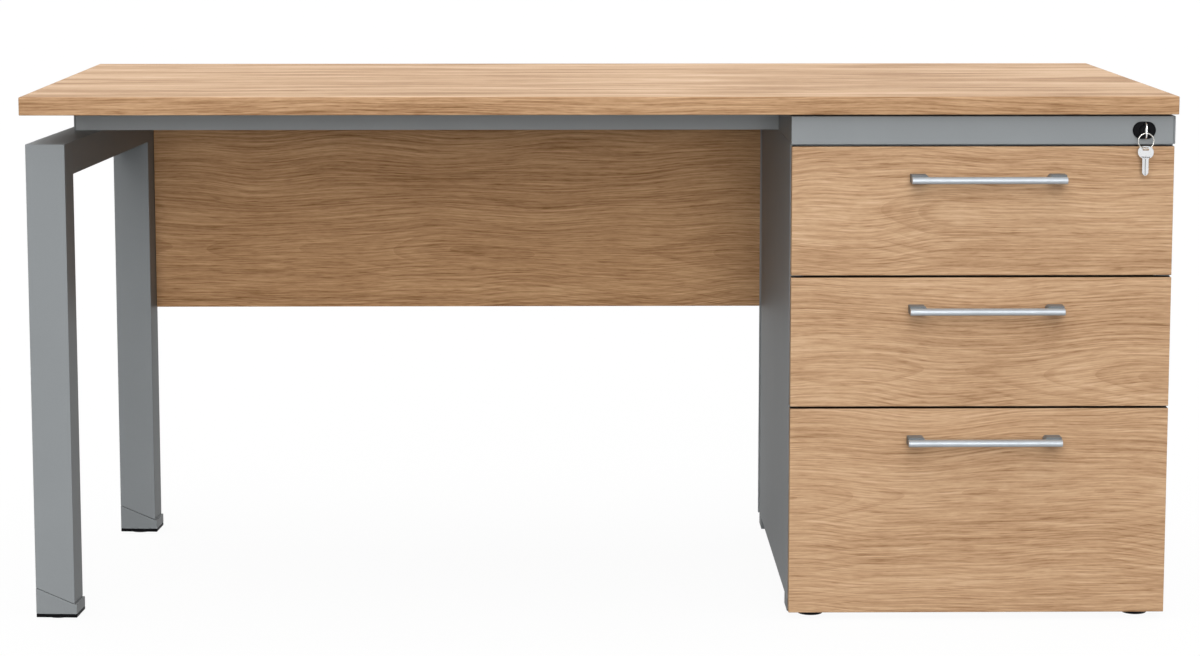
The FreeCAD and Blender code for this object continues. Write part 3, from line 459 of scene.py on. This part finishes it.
def rounded_loop(width, height, corner, middle, grow, y):
    """Points round an upright rectangle with rounded corners."""
    points = []
    for side_x, side_z, start in ((1, 1, 0.0), (-1, 1, 90.0), (-1, -1, 180.0), (1, -1, 270.0)):
        x = side_x * (width / 2 - corner)
        z = middle + side_z * (height / 2 - corner)
        points += [(x + (corner + grow) * u, y, z + (corner + grow) * v) for u, v in arc(start)]
    return points


def blade_loop(z, width, depth, half):
    """Points round the blade's section, with a groove down both faces."""
    groove = min(GROOVE / 2, 0.3 * width)
    face = [
        (width / 2, half), (1.2 * groove, half), (groove, half - depth),
        (-groove, half - depth), (-1.2 * groove, half), (-width / 2, half),
    ]
    return [(x, y, z) for x, y in face] + [(-x, -y, z) for x, y in face]


def key(name, at, turn, thickness):
    """A key that hangs at a point, turned as given."""
    half = thickness / 2
    inner = half - KEY_CHAMFER
    levels = [(-KEY_CHAMFER, half), (0.0, inner), (0.0, -inner), (-KEY_CHAMFER, -half)]
    rows = [rounded_loop(**BOW, grow=grow, y=y) for grow, y in levels]
    rows += [rounded_loop(**SLOT, grow=-grow, y=y) for grow, y in reversed(levels)]
    points = sum(rows, [])
    faces = skin(rows, True)
    rows = [blade_loop(z, width, depth, half) for z, width, depth in BLADE]
    faces += skin(rows, False, len(points))
    points += sum(rows, [])
    return new_piece(name, [at + turn @ Vector(point) * MM for point in points], faces, key_metal)


low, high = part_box("key_in_lock")
thickness = (high.x - low.x) / MM
bow_outwards = Matrix(((0, -1, 0), (0, 0, -1), (1, 0, 0)))
at = Vector(((low.x + high.x) / 2, low.y + BOW_TOP * MM, (low.z + high.z) / 2))
stand_in(key("turned_key", at, bow_outwards, thickness), "key_in_lock", "lock_core")
low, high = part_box("spare_key")
at = Vector(((low.x + high.x) / 2, (low.y + high.y) / 2, high.z - BOW_TOP * MM))
spare_twist = Matrix.Rotation(math.radians(SPARE_TWIST), 3, "Z")
stand_in(key("hung_key", at, spare_twist, thickness), "spare_key", "hanging_key")

# Studio: a pale floor, soft light from the front and above, and a white background
WHITE = (1.0, 1.0, 1.0, 1.0)
FLOOR_SIZE = 80.0
FLOOR_GLOW = 0.95
FLOOR_SHADE = (0.86, 0.86, 0.86)
FLOOR_BOUNCE = (0.15, 0.15, 0.15, 1.0)
scene.view_settings.view_transform = "Standard"
bpy.ops.mesh.primitive_plane_add(size=FLOOR_SIZE)
floor = bpy.context.object
floor.name = "floor"
stage = Look("pale_floor")
stage.tree.nodes.remove(stage.shader)
paper = stage.between(stage.noise(stage.place, (3.0, 3.0, 3.0), 2.0).outputs[0], 0.3, 0.7, 0.98, 1.0)
shadowed = stage.add("BsdfDiffuse", {"Color": stage.tint(FLOOR_SHADE, paper)})
plain = stage.add("BsdfDiffuse", {"Color": FLOOR_BOUNCE})
white = stage.add("Emission", {"Color": WHITE, "Strength": 1.0})
bright = stage.add("MixShader", {0: FLOOR_GLOW, 1: shadowed.outputs[0], 2: white.outputs[0]})
either = stage.add("MixShader", {0: stage.seen_directly(), 1: plain.outputs[0], 2: bright.outputs[0]})
stage.fill(stage.tree.nodes["Material Output"], {"Surface": either.outputs[0]})
floor.data.materials.append(stage.material)

# Sky: its light all round, more of it overhead, and more near the floor behind the object
SKY_BASE = 0.05
SKY_ABOVE = 2.95
SKY_BEHIND = 1.2
scene.world = bpy.data.worlds.new("studio")
sky = Nodes(scene.world)
direction = sky.add("SeparateXYZ", {0: sky.add("TexCoord").outputs["Generated"]}).outputs
above = sky.maths("MAXIMUM", direction["Z"], 0.0)
overhead = sky.maths("POWER", above, 4.0)
near_floor = sky.maths("POWER", sky.maths("SUBTRACT", 1.0, above), 3.0)
rearwards = sky.maths("POWER", sky.maths("MAXIMUM", direction["Y"], 0.0), 2.0)
behind = sky.maths("MULTIPLY", near_floor, rearwards)
lit = sky.tree.nodes["Background"]
sky.fill(lit, {"Color": WHITE, "Strength": sky.sum_of(SKY_BASE, (overhead, SKY_ABOVE), (behind, SKY_BEHIND))})
shown = sky.add("Background", {"Color": WHITE, "Strength": 1.0})
mixed = sky.add("MixShader", {0: sky.seen_directly(), 1: lit.outputs[0], 2: shown.outputs[0]})
sky.fill(sky.tree.nodes["World Output"], {"Surface": mixed.outputs[0]})


def soft_lamp(name, energy, spread, heading):
    """A sun with a wide disc, whose light travels along the heading."""
    lamp = bpy.data.lights.new(name, "SUN")
    lamp.energy = energy
    lamp.angle = math.radians(spread)
    item = bpy.data.objects.new(name, lamp)
    scene.collection.objects.link(item)
    item.rotation_euler = Vector(heading).to_track_quat("-Z", "Y").to_euler()


soft_lamp("key_light", energy=1.12, spread=40, heading=(0.12, 1.0, -0.50))
soft_lamp("low_light", energy=0.85, spread=30, heading=(0.0, 1.0, -0.14))
soft_lamp("level_light", energy=0.95, spread=16, heading=(0.0, 1.0, -0.03))

# Camera at the photograph's angle
IMAGE_WIDTH = 1200
FOCAL_PIXELS = 3231.8
CAMERA_PLACE = (-0.0577, -4.8405, 1.0420)
CAMERA_DIP = 7.971
CAMERA_TURN = -0.737
camera_data = bpy.data.cameras.new("camera")
camera_data.sensor_width = 36.0
camera_data.lens = FOCAL_PIXELS / IMAGE_WIDTH * camera_data.sensor_width
camera = bpy.data.objects.new("camera", camera_data)
scene.collection.objects.link(camera)
camera.location = CAMERA_PLACE
camera.rotation_euler = (math.radians(90 - CAMERA_DIP), 0.0, math.radians(CAMERA_TURN))
scene.camera = camera
